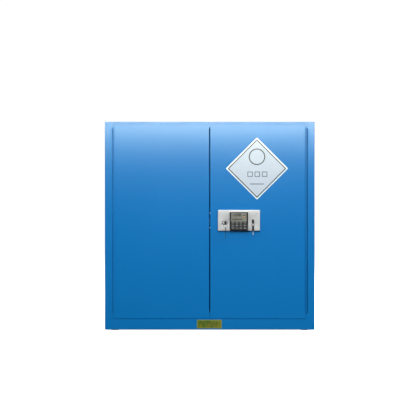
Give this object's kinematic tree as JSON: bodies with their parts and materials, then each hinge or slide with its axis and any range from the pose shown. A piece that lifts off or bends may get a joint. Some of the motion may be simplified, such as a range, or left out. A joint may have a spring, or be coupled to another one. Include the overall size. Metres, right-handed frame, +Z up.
{
  "type": "safety cabinet",
  "caption": "Low double-wall steel storage cabinet with two hinged doors, keypad and key lock panel, sump, shelf and vents.",
  "frame": {"origin": "bottom centre of the whole box, on the floor under the cabinet", "axes": "+Z up, -Y towards the doors, +X to the right of a person facing the doors"},
  "size_m": [1.096, 0.519, 1.086],
  "materials": {
    "blue_paint": "semi-gloss textured powder coat",
    "zinc_steel": "galvanised",
    "satin_steel": "fine brushed",
    "plated_steel": "bright nickel plate",
    "black_plastic": "fine grain",
    "key_plastic": "satin",
    "window_plastic": "gloss",
    "placard_film": "gloss",
    "label_film": "gloss",
    "black_rubber": "matt",
    "brass": "turned",
    "board": "lacquered"
  },
  "bodies": {
    "cabinet": {"outer_shell": "blue_paint", "back_panel": "blue_paint", "base_pan": "blue_paint", "inner_liner": "blue_paint", "door_stop_frame": "blue_paint", "sump_tray": "zinc_steel", "shelf": "zinc_steel", "shelf_standards": "zinc_steel", "shelf_clips": "zinc_steel", "vent_bushings": "brass", "flame_arresters": "satin_steel", "ground_terminal": "brass", "catch_magnets": "black_rubber", "hinge_frame_leaves": "blue_paint", "hinge_pins": "zinc_steel", "base_label": "label_film"},
    "left_door": {"left_door_skin": "blue_paint", "left_door_pan": "blue_paint", "left_hinge_leaf": "blue_paint"},
    "right_door": {"right_door_skin": "blue_paint", "right_door_pan": "blue_paint", "right_hinge_leaf": "blue_paint", "meeting_seal": "black_rubber", "door_placard": "placard_film", "lock_panel": "satin_steel", "keypad_bezel": "black_plastic", "display_window": "window_plastic", "circuit_board": "board", "battery_box": "black_plastic", "lock_barrels": "plated_steel", "gear_bracket": "zinc_steel"},
    "left_top_bolt": {"left_top_bolt": "zinc_steel"},
    "left_bottom_bolt": {"left_bottom_bolt": "zinc_steel"},
    "main_lock": {"main_plug": "plated_steel", "main_key": "black_plastic"},
    "bolt_carrier": {"bolt_carrier": "zinc_steel"},
    "top_rod": {"top_rod": "zinc_steel"},
    "bottom_rod": {"bottom_rod": "zinc_steel"},
    "override_lock": {"override_plug": "plated_steel", "override_key": "satin_steel"},
    "main_spare": {"main_spare_key": "black_plastic"},
    "override_spare": {"override_spare_key": "satin_steel"},
    "vent_cap_left": {"vent_cap_left": "brass"},
    "vent_cap_right": {"vent_cap_right": "brass"},
    "key_1": {"keypad_key_1": "key_plastic"},
    "key_2": {"keypad_key_2": "key_plastic"},
    "key_3": {"keypad_key_3": "key_plastic"},
    "key_4": {"keypad_key_4": "key_plastic"},
    "key_5": {"keypad_key_5": "key_plastic"},
    "key_6": {"keypad_key_6": "key_plastic"},
    "key_7": {"keypad_key_7": "key_plastic"},
    "key_8": {"keypad_key_8": "key_plastic"},
    "key_9": {"keypad_key_9": "key_plastic"},
    "key_10": {"keypad_key_10": "key_plastic"},
    "key_11": {"keypad_key_11": "key_plastic"},
    "key_12": {"keypad_key_12": "key_plastic"},
    "foot_1": {"foot_1": "black_rubber"},
    "foot_2": {"foot_2": "black_rubber"},
    "foot_3": {"foot_3": "black_rubber"},
    "foot_4": {"foot_4": "black_rubber"}
  },
  "joints": [
    {"name": "left_door_swing", "type": "hinge", "parent": "cabinet", "child": "left_door", "pos_m": [-0.5005, -0.222, 0.5725], "axis": [0, 0, -1], "range_deg": [0, 175]},
    {"name": "right_door_swing", "type": "hinge", "parent": "cabinet", "child": "right_door", "pos_m": [0.5005, -0.222, 0.5725], "axis": [0, 0, 1], "range_deg": [0, 175]},
    {"name": "bolt_carrier_slide", "type": "slide", "parent": "right_door", "child": "bolt_carrier", "axis": [-1, 0, 0], "range_m": [0, 0.01256]},
    {"name": "main_lock_turn", "type": "hinge", "parent": "right_door", "child": "main_lock", "pos_m": [0.224, -0.2105, 0.569], "axis": [0, 1, 0], "range_deg": [0, 90]},
    {"name": "top_rod_slide", "type": "slide", "parent": "right_door", "child": "top_rod", "axis": [0, 0, 1], "range_m": [0, 0.01256]},
    {"name": "bottom_rod_slide", "type": "slide", "parent": "right_door", "child": "bottom_rod", "axis": [0, 0, -1], "range_m": [0, 0.01256]},
    {"name": "main_spare_hang", "type": "hinge", "parent": "main_lock", "child": "main_spare", "pos_m": [0.224, -0.2485, 0.5513], "axis": [0, 1, 0], "range_deg": [-90, 0]},
    {"name": "override_lock_turn", "type": "hinge", "parent": "right_door", "child": "override_lock", "pos_m": [0.082, -0.2105, 0.5616], "axis": [0, 1, 0], "range_deg": [0, 90]},
    {"name": "override_spare_hang", "type": "hinge", "parent": "override_lock", "child": "override_spare", "pos_m": [0.082, -0.2485, 0.5447], "axis": [0, 1, 0], "range_deg": [-90, 0]},
    {"name": "left_top_bolt_slide", "type": "slide", "parent": "left_door", "child": "left_top_bolt", "axis": [0, 0, 1], "range_m": [0, 0.015]},
    {"name": "left_bottom_bolt_slide", "type": "slide", "parent": "left_door", "child": "left_bottom_bolt", "axis": [0, 0, -1], "range_m": [0, 0.015]},
    {"name": "vent_cap_left_pull", "type": "slide", "parent": "cabinet", "child": "vent_cap_left", "axis": [-1, 0, 0], "range_m": [0, 0.08]},
    {"name": "vent_cap_right_pull", "type": "slide", "parent": "cabinet", "child": "vent_cap_right", "axis": [1, 0, 0], "range_m": [0, 0.08]},
    {"name": "key_1_press", "type": "slide", "parent": "right_door", "child": "key_1", "axis": [0, 1, 0], "range_m": [0, 0.0015], "stiffness_N_per_m": 400},
    {"name": "key_2_press", "type": "slide", "parent": "right_door", "child": "key_2", "axis": [0, 1, 0], "range_m": [0, 0.0015], "stiffness_N_per_m": 400},
    {"name": "key_3_press", "type": "slide", "parent": "right_door", "child": "key_3", "axis": [0, 1, 0], "range_m": [0, 0.0015], "stiffness_N_per_m": 400},
    {"name": "key_4_press", "type": "slide", "parent": "right_door", "child": "key_4", "axis": [0, 1, 0], "range_m": [0, 0.0015], "stiffness_N_per_m": 400},
    {"name": "key_5_press", "type": "slide", "parent": "right_door", "child": "key_5", "axis": [0, 1, 0], "range_m": [0, 0.0015], "stiffness_N_per_m": 400},
    {"name": "key_6_press", "type": "slide", "parent": "right_door", "child": "key_6", "axis": [0, 1, 0], "range_m": [0, 0.0015], "stiffness_N_per_m": 400},
    {"name": "key_7_press", "type": "slide", "parent": "right_door", "child": "key_7", "axis": [0, 1, 0], "range_m": [0, 0.0015], "stiffness_N_per_m": 400},
    {"name": "key_8_press", "type": "slide", "parent": "right_door", "child": "key_8", "axis": [0, 1, 0], "range_m": [0, 0.0015], "stiffness_N_per_m": 400},
    {"name": "key_9_press", "type": "slide", "parent": "right_door", "child": "key_9", "axis": [0, 1, 0], "range_m": [0, 0.0015], "stiffness_N_per_m": 400},
    {"name": "key_10_press", "type": "slide", "parent": "right_door", "child": "key_10", "axis": [0, 1, 0], "range_m": [0, 0.0015], "stiffness_N_per_m": 400},
    {"name": "key_11_press", "type": "slide", "parent": "right_door", "child": "key_11", "axis": [0, 1, 0], "range_m": [0, 0.0015], "stiffness_N_per_m": 400},
    {"name": "key_12_press", "type": "slide", "parent": "right_door", "child": "key_12", "axis": [0, 1, 0], "range_m": [0, 0.0015], "stiffness_N_per_m": 400},
    {"name": "foot_1_screw", "type": "slide", "parent": "cabinet", "child": "foot_1", "axis": [0, 0, -1], "range_m": [0, 0.015]},
    {"name": "foot_2_screw", "type": "slide", "parent": "cabinet", "child": "foot_2", "axis": [0, 0, -1], "range_m": [0, 0.015]},
    {"name": "foot_3_screw", "type": "slide", "parent": "cabinet", "child": "foot_3", "axis": [0, 0, -1], "range_m": [0, 0.015]},
    {"name": "foot_4_screw", "type": "slide", "parent": "cabinet", "child": "foot_4", "axis": [0, 0, -1], "range_m": [0, 0.015]}
  ],
  "couplings": [
    {"joint": "main_lock_turn", "follows": "bolt_carrier_slide", "rad_per_m": 125},
    {"joint": "main_spare_hang", "follows": "bolt_carrier_slide", "rad_per_m": -125},
    {"joint": "top_rod_slide", "follows": "bolt_carrier_slide", "ratio": 1},
    {"joint": "bottom_rod_slide", "follows": "bolt_carrier_slide", "ratio": 1},
    {"joint": "override_spare_hang", "follows": "override_lock_turn", "ratio": -1}
  ]
}
